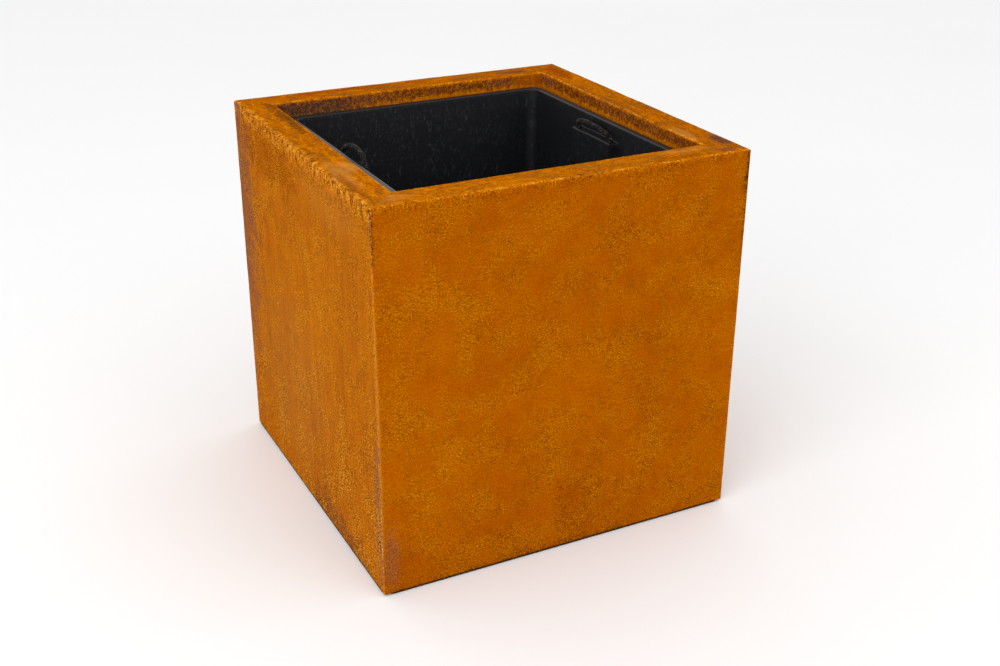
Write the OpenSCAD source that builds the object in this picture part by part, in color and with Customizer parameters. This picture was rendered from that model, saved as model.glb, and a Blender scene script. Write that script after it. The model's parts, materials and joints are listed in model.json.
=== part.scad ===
// Cube planter: a folded weathering-steel shell with a loose moulded liner.
// Origin: centre of the footprint, on the ground. +Z up, front panel towards -Y.

/* [Shell] */
// Width of the shell, left to right
shell_w = 500; // [400:10:800]
// Depth of the shell, front to back
shell_d = 500; // [400:10:800]
// Height of the shell
shell_h = 500; // [400:10:800]
// Thickness of the steel sheet
sheet_t = 2; // [1.5:0.5:3]
// Outer radius of every fold in the sheet
bend_r = 3; // [2.5:0.5:5]
// Radius the welded upright edges are ground to
edge_r = 2; // [1:0.5:3]

/* [Rim and base] */
// Width of the flat rim, outer face to inner face
rim_w = 44; // [36:1:70]
// Depth of the lip that turns down inside the rim, from the rim's top
lip_h = 30; // [15:0.5:40]
// Width of the return flange under each panel
base_flange_w = 30; // [20:1:60]
// Length of the relief notch at each end of a bottom fold
relief_l = 10; // [6:1:20]
// Height of the relief notch
relief_h = 3.2; // [2.6:0.1:6]

/* [Corner welds] */
// Leg of the inside bead in each upright corner
weld_leg = 4; // [3:0.5:6]
// Radius of the bead under each mitre of the rim
mitre_bead_r = 2; // [1.5:0.5:3]

/* [Liner support] */
// Distance between the centres of the two cross rails
rail_pitch = 200; // [140:5:240]
// Outside width of a rail
rail_w = 40; // [36:1:60]
// Height of a rail's side flanges, over its web
rail_h = 25; // [15:1:50]
// Thickness of a rail
rail_t = 2; // [1.5:0.5:4]
// Gap between a rail's end and the panel
rail_end_gap = 2; // [1:0.5:5]
// Leg of the angle cleats that carry the rails
cleat_leg = 40; // [34:1:50]
// Thickness of a cleat
cleat_t = 4; // [3:0.5:6]
// Side play of a cleat inside its rail
cleat_play = 1; // [0.5:0.5:3]

/* [Rail fasteners] */
// Nominal diameter of the rail bolts
bolt_d = 8; // [6:1:10]
// Length of a bolt under its head
bolt_l = 20; // [18:1:30]
// Distance of a bolt's axis from the panel's inner face
bolt_out = 24; // [20:1:26]
// Radial clearance of a bolt in its holes
bolt_clear = 0.5; // [0.3:0.1:1]
// Width across flats of bolt head and nut
hex_af = 13; // [10:1:17]
// Height of the bolt head
head_h = 5.3; // [4:0.1:7]
// Height of the nut
nut_h = 6.5; // [5:0.1:8]
// Outside diameter of the washers
washer_d = 16; // [14:1:22]
// Thickness of the washers
washer_t = 1.6; // [1:0.1:2.5]

/* [Liner] */
// Height of the liner's underside over the ground
liner_base = 121; // [90:1:220]
// Gap between the centred liner's rim and the shell's lip
liner_gap = 11; // [8:1:30]
// Height of the liner's rim above the lower edge of the lip
liner_rise = 13; // [-5:0.5:20]
// How far to the right the loose liner stands
liner_shift_x = 1; // [-5:0.5:5]
// How far to the back the loose liner stands
liner_shift_y = -0.5; // [-5:0.5:5]
// How far the loose liner is turned to the left, in degrees
liner_turn = 0.6; // [-1:0.05:1]
// Wall of the liner
liner_t = 2.5; // [2:0.5:3]
// Width of the liner's rim
liner_rim_w = 11; // [8:0.5:20]
// Height of the skirt round the rim
liner_skirt_h = 8; // [5:0.5:15]
// Draft of the liner's walls, in degrees
liner_draft = 1.2; // [0.5:0.1:3]
// Inside radius of the liner's upright corners
liner_corner_r = 15; // [8:1:40]
// Diameter of the drain holes
drain_d = 10; // [6:1:16]
// Spacing of the outer drain holes, left to right
drain_pitch_x = 200; // [100:5:240]
// Spacing of the outer drain holes, front to back
drain_pitch_y = 100; // [60:5:120]

/* [Handle pockets] */
// Width of the pocket that is moulded into each side wall
pocket_w = 100; // [70:1:140]
// Depth of the pocket's top, from the wall inwards
pocket_in = 14; // [13:0.5:25]
// Distance of the pocket's top below the liner's rim
pocket_drop = 21; // [16:0.5:40]
// Height of the pocket's upright front
pocket_h = 50; // [45:1:80]
// Height over which the front runs back into the wall
pocket_run_h = 30; // [20:1:60]

/* [Rope handles] */
// Diameter of the rope
rope_d = 7; // [5:0.5:9]
// Radial clearance of the rope in its holes
rope_play = 0.8; // [0.4:0.1:1.5]
// Distance from each end of the pocket to the nearer hole's centre
hole_end = 9; // [7.5:0.5:14]
// Height of the left rope's arch over its hinge line
left_arch_h = 24.5; // [12:0.5:30]
// Height of the right rope's arch over its hinge line
right_arch_h = 14; // [12:0.5:30]
// Inward lean of the left arch at rest, in degrees
left_lean = 14; // [0:1:60]
// Inward lean of the right arch at rest, in degrees
right_lean = 30; // [0:1:60]
// How far the ropes pull up before their knots stop them
rope_travel = 16; // [5:1:20]
// Radius of the knots
knot_r = 8.5; // [7:0.5:10]
// Length of the tail under a knot
tail_l = 8; // [4:1:12]

/* [Hidden] */

// Rest clearance between pieces of different bodies
seat_gap = 0.3;
// Overlap that keeps cuts clean
cut = 1;
// Thickness of the discs that span the liner's drafted shapes
disc_t = 0.01;
// Sides of smooth round shapes, of drafted corners, and of the rope
smooth = 64;
drafted = 32;
rope_sides = 12;
// Rings along a rope arch, and in each rounded end
arch_rings = 28;
end_rings = 3;
// Exponent of the arch's outline: 2 is an ellipse, more is squarer
arch_power = 2.2;

$fn = smooth;

liner_top = shell_h - lip_h + liner_rise;
liner_rim_x = shell_w / 2 - rim_w - liner_gap;
liner_rim_y = shell_d / 2 - rim_w - liner_gap;
liner_in_x = liner_rim_x - liner_rim_w;
liner_in_y = liner_rim_y - liner_rim_w;

rail_top = liner_base - seat_gap;
seat_z = rail_top - rail_t;
bolt_x = shell_w / 2 - sheet_t - bolt_out;
washer_base = rail_top;
head_base = rail_top + washer_t;
nut_top = seat_z - cleat_t;

pocket_top = liner_top - pocket_drop;
wall_at_pocket = liner_in_x - pocket_drop * tan(liner_draft);
pocket_face = wall_at_pocket - pocket_in;
rope_r = rope_d / 2;
hole_r = rope_r + rope_play;
rope_x = pocket_face + liner_t + hole_r;
rope_y = pocket_w / 2 - hole_end;
hinge_z = pocket_top + seat_gap + rope_r;
knot_x = pocket_face + liner_t + knot_r + 2 * seat_gap;
knot_y = pocket_w / 2 - max(hole_end, liner_t + knot_r + 2 * seat_gap);
knot_z = pocket_top - liner_t - seat_gap - rope_travel - knot_r;

// ---- Shell ----

// Cross-section of a fold: a quarter ring round its own centre
module fold() {
    intersection() {
        difference() {
            circle(r = bend_r);
            circle(r = bend_r - sheet_t);
        }
        square(bend_r);
    }
}

// Section of a panel: x runs inwards from the outer face, y is height
module panel_section() {
    translate([0, bend_r])
        square([sheet_t, shell_h - 2 * bend_r]);
    translate([bend_r, bend_r])
        rotate(180)
            fold();
    translate([bend_r, 0])
        square([base_flange_w - bend_r, sheet_t]);
    translate([bend_r, shell_h - bend_r])
        rotate(90)
            fold();
    translate([bend_r, shell_h - sheet_t])
        square([rim_w - 2 * bend_r, sheet_t]);
    translate([rim_w - bend_r, shell_h - bend_r])
        fold();
    translate([rim_w - sheet_t, shell_h - lip_h])
        square([sheet_t, lip_h - bend_r]);
}

// Square with rounded corners, centred, from its two half sizes
module rounded_rect(half_x, half_y, r) {
    square([2 * half_x, 2 * (half_y - r)], center = true);
    square([2 * (half_x - r), 2 * half_y], center = true);
    for (sx = [-1, 1], sy = [-1, 1])
        translate([sx * (half_x - r), sy * (half_y - r)])
            circle(r = r);
}

// A panel that faces -Y, its outer face at distance out from the middle
module panel(span, out) {
    reach = rim_w + base_flange_w;
    difference() {
        intersection() {
            translate([-span / 2, -out, 0])
                rotate([90, 0, 90])
                    linear_extrude(span)
                        panel_section();
            translate([0, -out, 0])
                linear_extrude(shell_h)
                    polygon([
                        [-span / 2, 0],
                        [span / 2, 0],
                        [span / 2 - reach, reach],
                        [-span / 2 + reach, reach]
                    ]);
            linear_extrude(shell_h)
                rounded_rect(span / 2, out, edge_r);
        }
        for (sx = [-1, 1])
            translate([sx * (span / 2 - relief_l / 2), -out + reach / 2, relief_h / 2 - cut])
                cube([relief_l, reach + 2 * cut, relief_h + 2 * cut], center = true);
    }
}

module front_panel() {
    color("#b5651d")
        panel(shell_w, shell_d / 2);
}

module back_panel() {
    color("#b5651d")
        rotate(180)
            panel(shell_w, shell_d / 2);
}

module left_panel() {
    color("#a85c22")
        rotate(-90)
            panel(shell_d, shell_w / 2);
}

module right_panel() {
    color("#a85c22")
        rotate(90)
            panel(shell_d, shell_w / 2);
}

// Bead in the front left corner: up the corner and under the rim's mitre
module corner_weld() {
    bead_start = bend_r + mitre_bead_r * cos(45);
    bead_end = rim_w - sheet_t - 2 * mitre_bead_r;
    bottom = max(relief_h, bend_r);
    color("#7a4a2a")
        translate([-shell_w / 2, -shell_d / 2, 0]) {
            translate([sheet_t, sheet_t, bottom])
                linear_extrude(shell_h - bend_r - bottom)
                    intersection() {
                        circle(r = weld_leg);
                        square(weld_leg);
                    }
            intersection() {
                translate([bead_start, bead_start, shell_h - sheet_t])
                    rotate([0, 90, 45])
                        cylinder(r = mitre_bead_r, h = (bead_end - bead_start) * sqrt(2));
                translate([0, 0, shell_h - sheet_t - 2 * mitre_bead_r])
                    cube([rim_w, rim_w, 2 * mitre_bead_r]);
            }
        }
}

module front_left_weld() {
    corner_weld();
}

module front_right_weld() {
    mirror([1, 0, 0])
        corner_weld();
}

module back_left_weld() {
    mirror([0, 1, 0])
        corner_weld();
}

module back_right_weld() {
    mirror([1, 0, 0])
        mirror([0, 1, 0])
            corner_weld();
}

// ---- Liner support ----

// Channel with its web on top, from the left panel to the right one
module rail() {
    length = shell_w - 2 * (sheet_t + rail_end_gap);
    color("#5e6266")
        difference() {
            translate([-length / 2, -rail_w / 2, rail_top - rail_h])
                cube([length, rail_w, rail_h]);
            translate([-length / 2 - cut, -rail_w / 2 + rail_t, rail_top - rail_h - cut])
                cube([length + 2 * cut, rail_w - 2 * rail_t, rail_h - rail_t + cut]);
            for (sx = [-1, 1])
                translate([sx * bolt_x, 0, seat_z - cut])
                    cylinder(r = bolt_d / 2 + bolt_clear, h = rail_t + 2 * cut);
        }
}

module front_rail() {
    translate([0, -rail_pitch / 2, 0])
        rail();
}

module back_rail() {
    translate([0, rail_pitch / 2, 0])
        rail();
}

// Angle on the left panel, with its seat on top
module cleat() {
    width = rail_w - 2 * (rail_t + cleat_play);
    color("#8a5a30")
        translate([-shell_w / 2 + sheet_t, 0, 0])
            difference() {
                union() {
                    translate([0, -width / 2, seat_z - cleat_t])
                        cube([cleat_leg, width, cleat_t]);
                    translate([0, -width / 2, seat_z - cleat_leg])
                        cube([cleat_t, width, cleat_leg]);
                }
                translate([shell_w / 2 - sheet_t - bolt_x, 0, seat_z - cleat_t - cut])
                    cylinder(r = bolt_d / 2 + bolt_clear, h = cleat_t + 2 * cut);
            }
}

module front_left_cleat() {
    translate([0, -rail_pitch / 2, 0])
        cleat();
}

module front_right_cleat() {
    mirror([1, 0, 0])
        front_left_cleat();
}

module back_left_cleat() {
    translate([0, rail_pitch / 2, 0])
        cleat();
}

module back_right_cleat() {
    mirror([1, 0, 0])
        back_left_cleat();
}

// Places a fastener at each end of both rails
module at_bolts() {
    for (sx = [-1, 1], sy = [-1, 1])
        translate([sx * bolt_x, sy * rail_pitch / 2, 0])
            children();
}

module rail_bolts() {
    color("#9a9da0")
        at_bolts() {
            translate([0, 0, head_base])
                cylinder(d = hex_af / cos(30), h = head_h, $fn = 6);
            translate([0, 0, head_base - bolt_l])
                cylinder(d = bolt_d, h = bolt_l);
        }
}

module rail_washers() {
    color("#a8abae")
        at_bolts()
            translate([0, 0, washer_base])
                difference() {
                    cylinder(d = washer_d, h = washer_t);
                    translate([0, 0, -cut])
                        cylinder(r = bolt_d / 2 + bolt_clear, h = washer_t + 2 * cut);
                }
}

module rail_nuts() {
    color("#9a9da0")
        at_bolts()
            translate([0, 0, nut_top - nut_h])
                difference() {
                    cylinder(d = hex_af / cos(30), h = nut_h, $fn = 6);
                    translate([0, 0, -cut])
                        cylinder(d = bolt_d, h = nut_h + 2 * cut);
                }
}

// ---- Liner ----

// Block with drafted walls and rounded corners; sizes are at the liner's top
module drafted_block(half_x, half_y, r, bottom) {
    fall = liner_top - bottom;
    inset = fall * tan(liner_draft);
    hull()
        for (sx = [-1, 1], sy = [-1, 1]) {
            translate([sx * (half_x - r), sy * (half_y - r), liner_top - disc_t])
                cylinder(r = r, h = disc_t, $fn = drafted);
            translate([sx * (half_x - inset - r), sy * (half_y - inset - r), bottom])
                cylinder(r = r, h = disc_t, $fn = drafted);
        }
}

// Side view of the right pocket, or of its hollow when wall is its thickness
module pocket_side(wall) {
    face = pocket_face + wall;
    top = pocket_top - wall;
    foot = pocket_top - pocket_h;
    outer = liner_in_x + liner_t / 2;
    low = foot - pocket_run_h;
    low_x = liner_in_x - (liner_top - low) * tan(liner_draft) + wall;
    polygon([
        [face, top],
        [face, foot],
        [low_x, low],
        [outer + 2 * wall, low],
        [outer + 2 * wall, top]
    ]);
}

module pocket_block(wall) {
    width = pocket_w - 2 * wall;
    translate([0, width / 2, 0])
        rotate([90, 0, 0])
            linear_extrude(width)
                pocket_side(wall);
}

module liner_rim() {
    translate([0, 0, liner_top - liner_t])
        linear_extrude(liner_t)
            rounded_rect(liner_rim_x, liner_rim_y, liner_corner_r + liner_t);
    translate([0, 0, liner_top - liner_skirt_h])
        linear_extrude(liner_skirt_h)
            difference() {
                rounded_rect(liner_rim_x, liner_rim_y, liner_corner_r + liner_t);
                rounded_rect(liner_rim_x - liner_t, liner_rim_y - liner_t, liner_corner_r);
            }
}

// Places a piece of the liner where the loose liner stands
module at_liner() {
    translate([liner_shift_x, liner_shift_y, 0])
        rotate(liner_turn)
            children();
}

module liner() {
    color("#1c1d20")
        at_liner()
            difference() {
                union() {
                    difference() {
                        union() {
                            drafted_block(
                                liner_in_x + liner_t, liner_in_y + liner_t,
                                liner_corner_r + liner_t, liner_base);
                            liner_rim();
                        }
                        intersection() {
                            drafted_block(
                                liner_in_x, liner_in_y, liner_corner_r, liner_base - cut);
                            translate([-shell_w / 2, -shell_d / 2, liner_base + liner_t])
                                cube([shell_w, shell_d, shell_h]);
                        }
                        translate([0, 0, liner_top - disc_t - cut])
                            linear_extrude(2 * cut)
                                rounded_rect(
                                    liner_in_x - cut * tan(liner_draft),
                                    liner_in_y - cut * tan(liner_draft),
                                    liner_corner_r);
                    }
                    for (side = [0, 180])
                        rotate(side)
                            pocket_block(0);
                }
                for (side = [0, 180])
                    rotate(side) {
                        pocket_block(liner_t);
                        for (sy = [-1, 1])
                            translate([rope_x, sy * rope_y, pocket_top - liner_t - cut])
                                cylinder(r = hole_r, h = liner_t + 2 * cut);
                    }
                translate([0, 0, liner_base - cut]) {
                    cylinder(d = drain_d, h = liner_t + 2 * cut);
                    for (sx = [-1, 1], sy = [-1, 1])
                        translate([sx * drain_pitch_x / 2, sy * drain_pitch_y / 2, 0])
                            cylinder(d = drain_d, h = liner_t + 2 * cut);
                }
            }
}

// ---- Rope handles ----

// Point of the arch at angle a, from 0 at the back foot to 180 at the front one
function arch_point(a, rise) =
    let (c = cos(a), s = sin(a), k = 2 / arch_power)
    [0, rope_y * sign(c) * pow(abs(c), k), rise * pow(s, k)];

function unit(v) = v / norm(v);

// Centre line of the rope with its two rounded ends: [point, direction, radius]
function arch_stations(rise) =
    let (
        ends = [for (i = [end_rings:-1:1]) i * 90 / (end_rings + 1)],
        arch = [for (i = [1:arch_rings - 1]) i * 180 / arch_rings]
    )
    concat(
        [for (e = ends) [[0, rope_y, -rope_r * sin(e)], [0, 0, 1], rope_r * cos(e)]],
        [[[0, rope_y, 0], [0, 0, 1], rope_r]],
        [for (a = arch)
            [arch_point(a, rise), unit(arch_point(a + 1, rise) - arch_point(a - 1, rise)), rope_r]],
        [[[0, -rope_y, 0], [0, 0, -1], rope_r]],
        [for (i = [end_rings - 1:-1:0])
            [[0, -rope_y, -rope_r * sin(ends[i])], [0, 0, -1], rope_r * cos(ends[i])]]
    );

// Ring of points round a station; the arch lies in the YZ plane
function ring(station) =
    let (across = cross([1, 0, 0], station[1]))
    [for (i = [0:rope_sides - 1])
        let (a = i * 360 / rope_sides)
        station[0] + station[2] * (cos(a) * [1, 0, 0] + sin(a) * across)];

module rope_arch(rise) {
    stations = arch_stations(rise);
    rings = len(stations);
    points = [for (s = stations) each ring(s)];
    sides = [for (j = [0:rings - 2], i = [0:rope_sides - 1])
        let (n = (i + 1) % rope_sides)
        [j * rope_sides + i, (j + 1) * rope_sides + i, (j + 1) * rope_sides + n, j * rope_sides + n]];
    first = [for (i = [0:rope_sides - 1]) i];
    last = [for (i = [rope_sides - 1:-1:0]) (rings - 1) * rope_sides + i];
    color("#3a352c")
        polyhedron(points = points, faces = concat(sides, [first, last]), convexity = 4);
}

// Places a handle on the right wall, or on the left one when side is -1
module at_hinge(side, lean) {
    at_liner()
        translate([side * rope_x, 0, hinge_z])
            rotate([0, -side * lean, 0])
                children();
}

module left_rope_arch() {
    at_hinge(-1, left_lean)
        rope_arch(left_arch_h);
}

module right_rope_arch() {
    at_hinge(1, right_lean)
        rope_arch(right_arch_h);
}

// The stretch of rope inside a hole, with its knot and tail in the pocket
module rope_end(side, end) {
    color("#3a352c")
        at_liner() {
            translate([side * rope_x, end * rope_y, knot_z - knot_r - tail_l])
                cylinder(d = rope_d, h = pocket_top - knot_z + knot_r + tail_l);
            translate([side * knot_x, end * knot_y, knot_z])
                sphere(r = knot_r);
        }
}

module left_rope_front_end() {
    rope_end(-1, -1);
}

module left_rope_back_end() {
    rope_end(-1, 1);
}

module right_rope_front_end() {
    rope_end(1, -1);
}

module right_rope_back_end() {
    rope_end(1, 1);
}

front_panel();
back_panel();
left_panel();
right_panel();
front_left_weld();
front_right_weld();
back_left_weld();
back_right_weld();
front_rail();
back_rail();
front_left_cleat();
front_right_cleat();
back_left_cleat();
back_right_cleat();
rail_bolts();
rail_washers();
rail_nuts();
liner();
left_rope_arch();
left_rope_front_end();
left_rope_back_end();
right_rope_arch();
right_rope_front_end();
right_rope_back_end();
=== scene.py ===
"""Planter box: the looks of a rusted steel shell with a loose black liner and two rope handles."""

import json
import math
from types import SimpleNamespace

import bmesh
import bpy
import numpy as np
from mathutils import Matrix, Vector, noise


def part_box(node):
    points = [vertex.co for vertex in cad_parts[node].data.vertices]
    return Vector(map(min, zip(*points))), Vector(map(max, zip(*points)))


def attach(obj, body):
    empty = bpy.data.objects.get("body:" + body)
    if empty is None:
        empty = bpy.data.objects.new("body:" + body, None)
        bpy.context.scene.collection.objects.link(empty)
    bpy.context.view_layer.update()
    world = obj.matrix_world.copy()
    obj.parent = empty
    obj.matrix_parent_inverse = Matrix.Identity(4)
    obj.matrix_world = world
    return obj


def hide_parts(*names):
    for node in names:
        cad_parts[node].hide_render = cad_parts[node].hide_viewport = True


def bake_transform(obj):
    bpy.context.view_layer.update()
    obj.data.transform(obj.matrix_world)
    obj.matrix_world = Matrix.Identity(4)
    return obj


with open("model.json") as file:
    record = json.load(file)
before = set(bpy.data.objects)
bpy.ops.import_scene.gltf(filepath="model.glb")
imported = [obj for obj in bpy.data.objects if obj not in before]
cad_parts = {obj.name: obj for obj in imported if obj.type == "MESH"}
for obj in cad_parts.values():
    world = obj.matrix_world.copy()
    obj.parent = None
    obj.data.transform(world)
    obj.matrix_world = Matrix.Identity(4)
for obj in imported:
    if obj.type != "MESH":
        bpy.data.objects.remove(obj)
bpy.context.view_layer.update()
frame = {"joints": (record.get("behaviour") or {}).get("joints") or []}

# ---- Sizes of the shell, in metres ----
front_lo, front_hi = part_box("front_panel")
SPAN = front_hi.x - front_lo.x
HALF = SPAN / 2
HEIGHT = front_hi.z
RIM_W = front_hi.y - front_lo.y
SHEET_T = 0.002
BEND_R = 0.003
EDGE_R = 0.002
LIP_H = 0.030
FLANGE_W = 0.030
RELIEF_L = 0.010
RELIEF_H = 0.0032
SHEET_CHAMFER = 0.0004
WELD_R = 0.004
MITRE_WELD_R = 0.002
MITRE_WELD_START = 0.0045
MITRE_WELD_STOP = 0.006
WELD_RIPPLE = 0.0042
WELD_STEPS = 6
BORE_PAST = 0.004
# How often the rust swells, scales and pits in a metre, and by how much
RUST_RELIEF = ((16.0, 0.00030), (95.0, 0.00016), (260.0, 0.00010))

# ---- Where the loose liner stands ----
liner_lo, liner_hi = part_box("liner")
LINER_TOP = liner_hi.z
LINER_BASE = liner_lo.z
LINER_SHIFT = (liner_lo + liner_hi) / 2
joints = {joint["name"]: joint for joint in frame["joints"]}
left_axis = joints["left_rope_swing"]["axis"]
LINER_TURN = math.atan2(-left_axis[0], left_axis[1])

# ---- Sizes of the liner ----
LINER_T = 0.0025
LINER_RIM_HALF = 0.195
LINER_MOUTH_HALF = 0.184
LINER_CORNER_R = 0.015
LINER_SKIRT_H = 0.008
LINER_DRAFT = math.tan(math.radians(1.2))
LINER_FLOOR_R = 0.006
LINER_EDGE_R = 0.0012
LINER_SKIRT_R = 0.0008
LINER_WARP = 0.0006
WARP_DEPTH = 0.04
WARP_SCALE = 9.0
DRAIN_R = 0.005
DRAIN_X = 0.100
DRAIN_Y = 0.050
POCKET_HALF = 0.050
POCKET_IN = 0.014
POCKET_H = 0.050
POCKET_RUN_H = 0.030
POCKET_END_R = 0.002
POCKET_INNER_BENDS = (0.0018, 0.0022, 0.012)
POCKET_OUTER_BENDS = (0.0010, 0.0012, 0.012)
POCKET_TOP = LINER_TOP - 0.021

# ---- Sizes of the ropes ----
HOLE_R = 0.0043
HOLE_CLOSER = 0.0001
ROPE_Y = 0.041
HINGE_Z = joints["left_rope_swing"]["pos_m"][2]
ARCH_POWER = 2.2
SEAT_GAP = 0.0003
ROPE_PULL = 0.016
KNOT_R = 0.0085
KNOT_Z = POCKET_TOP - LINER_T - SEAT_GAP - ROPE_PULL - KNOT_R
TAIL_L = 0.008
TAIL_END_Z = KNOT_Z - KNOT_R - TAIL_L


# ---- Mesh helpers ----


def mesh_object(name, points, faces, material, smooth_deg=35):
    """A mesh object in the row frame, its faces turned outwards and its folds over smooth_deg sharp."""
    mesh = bpy.data.meshes.new(name)
    mesh.from_pydata([tuple(p) for p in points], [], [list(f) for f in faces])
    tidy_mesh(mesh, smooth_deg)
    obj = bpy.data.objects.new(name, mesh)
    bpy.context.scene.collection.objects.link(obj)
    mesh.materials.append(material)
    return obj


def tidy_mesh(mesh, smooth_deg):
    """Drops points that no face uses, turns the faces outwards and sets the shading."""
    bm = bmesh.new()
    bm.from_mesh(mesh)
    loose = [v for v in bm.verts if not v.link_faces]
    bmesh.ops.delete(bm, geom=loose, context="VERTS")
    bmesh.ops.recalc_face_normals(bm, faces=bm.faces)
    bm.to_mesh(mesh)
    bm.free()
    mesh.shade_smooth()
    mesh.set_sharp_from_angle(angle=math.radians(smooth_deg))


def cut_away(obj, solids, smooth_deg=35):
    """Takes solids, each of points and faces, out of obj."""
    cutter = mesh_object("cutter", *joined(solids), obj.data.materials[0])
    modifier = obj.modifiers.new("cut", "BOOLEAN")
    modifier.operation = "DIFFERENCE"
    modifier.solver = "EXACT"
    modifier.object = cutter
    graph = bpy.context.evaluated_depsgraph_get()
    cut_mesh = bpy.data.meshes.new_from_object(obj.evaluated_get(graph))
    obj.modifiers.clear()
    obj.data = cut_mesh
    tidy_mesh(cut_mesh, smooth_deg)
    bpy.data.objects.remove(cutter)


def graded(start, end, fine, coarse, margin):
    """Stations from start to end, fine apart within a margin of both ends and coarse apart between them."""
    length = end - start
    edge = np.arange(0, margin, fine)
    middle = np.linspace(margin, length - margin, max(2, round((length - 2 * margin) / coarse)))
    return start + np.concatenate([edge, middle, (length - edge)[::-1]])


def rounded_path(corners, radii, spacing, arc_steps=4):
    """Points along a path of straight runs, with its inner corners rounded to the radii."""
    corners = [np.array(c, float) for c in corners]
    points = [corners[0]]
    for before, corner, after, radius in zip(corners, corners[1:], corners[2:], radii):
        way_in = (corner - before) / np.linalg.norm(corner - before)
        way_out = (after - corner) / np.linalg.norm(after - corner)
        turn = math.acos(max(-1.0, min(1.0, float(way_in @ way_out))))
        reach = radius * math.tan(turn / 2)
        first = corner - way_in * reach
        last = corner + way_out * reach
        points += run_to(points[-1], first, spacing)
        centre_way = way_out - way_in
        centre = corner + centre_way / np.linalg.norm(centre_way) * radius / math.cos(turn / 2)
        for i in range(1, arc_steps):
            share = i / arc_steps
            spoke = (first - centre) * math.sin((1 - share) * turn) + (last - centre) * math.sin(share * turn)
            points.append(centre + spoke / math.sin(turn))
        points.append(last)
    points += run_to(points[-1], corners[-1], spacing)
    return np.array(points)


def run_to(start, end, spacing):
    """Points after start on a straight run to end, about spacing apart."""
    steps = max(1, round(float(np.linalg.norm(end - start)) / spacing))
    return [start + (end - start) * i / steps for i in range(1, steps + 1)]


def loft(rings, closed_ends=True):
    """Faces between rings of equal length, and the points, for a list of (n, 3) rings."""
    points = np.concatenate(rings)
    count = len(rings[0])
    faces = []
    for k in range(len(rings) - 1):
        for i in range(count):
            n = (i + 1) % count
            faces.append((k * count + i, k * count + n, (k + 1) * count + n, (k + 1) * count + i))
    if closed_ends:
        faces.append(tuple(range(count))[::-1])
        faces.append(tuple(range(len(points) - count, len(points))))
    return points, faces


def joined(parts):
    """One list of points and faces from several."""
    points, faces, start = [], [], 0
    for part_points, part_faces in parts:
        points.append(np.asarray(part_points))
        faces += [tuple(i + start for i in face) for face in part_faces]
        start += len(part_points)
    return np.concatenate(points), faces


def circle(centre, radius, z, sides):
    """A level ring of points; the radius is a number, or one for each point."""
    angles = np.arange(sides) * 2 * math.pi / sides
    x, y = centre[0] + np.cos(angles) * radius, centre[1] + np.sin(angles) * radius
    return np.column_stack([x, y, np.full(sides, z)])


def cylinder(centre, radius, z0, z1, sides=40):
    """An upright cylinder between two heights."""
    return loft([circle(centre, radius, z, sides) for z in (z0, z1)])


def bore(centre, radius, top, thickness):
    """A cutter that passes through a wall of that thickness under a height."""
    return cylinder(centre, radius, top - thickness - BORE_PAST, top + BORE_PAST)


def run_lengths(points):
    """The distance along a line of points, at each of them."""
    return np.concatenate([[0.0], np.cumsum(np.linalg.norm(np.diff(points, axis=0), axis=1))])


def both_skins(middle, normals, half):
    """The outer and inner side of a section, half a thickness either way from its middle."""
    return [middle + normals * (sign * half)[:, None] for sign in (1.0, -1.0)]


def quarter_turns(points, turns):
    """Points turned about Z by quarter turns."""
    turned = np.array(points, float)
    for _ in range(turns % 4):
        turned = np.column_stack([-turned[:, 1], turned[:, 0], turned[:, 2]])
    return turned


def from_liner(points):
    """Points of the liner's own frame, where the loose liner stands."""
    c, s = math.cos(LINER_TURN), math.sin(LINER_TURN)
    x, y = points[:, 0], points[:, 1]
    return np.column_stack([c * x - s * y + LINER_SHIFT.x, s * x + c * y + LINER_SHIFT.y, points[:, 2]])


# ---- Material helpers ----


class Value:
    """What a material works out at each point; numbers add, subtract and multiply as usual."""

    def __init__(self, tree, socket):
        self.tree = tree
        self.socket = socket

    def __add__(self, other):
        return self.tree.math("ADD", self, other)

    def __sub__(self, other):
        return self.tree.math("SUBTRACT", self, other)

    def __rsub__(self, other):
        return self.tree.math("SUBTRACT", other, self)

    def __mul__(self, other):
        return self.tree.math("MULTIPLY", self, other)

    __radd__ = __add__
    __rmul__ = __mul__

    def __abs__(self):
        return self.tree.math("ABSOLUTE", self)

    def rise(self, low, high):
        """0 below low and 1 above high, smooth between; the other way round where low is over high."""
        return self.tree.node("MapRange", self, low, high, interpolation_type="SMOOTHSTEP")

    def swing(self, amount):
        """A 0 to 1 pattern as a swing of that amount round zero."""
        return (self - 0.5) * amount


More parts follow.
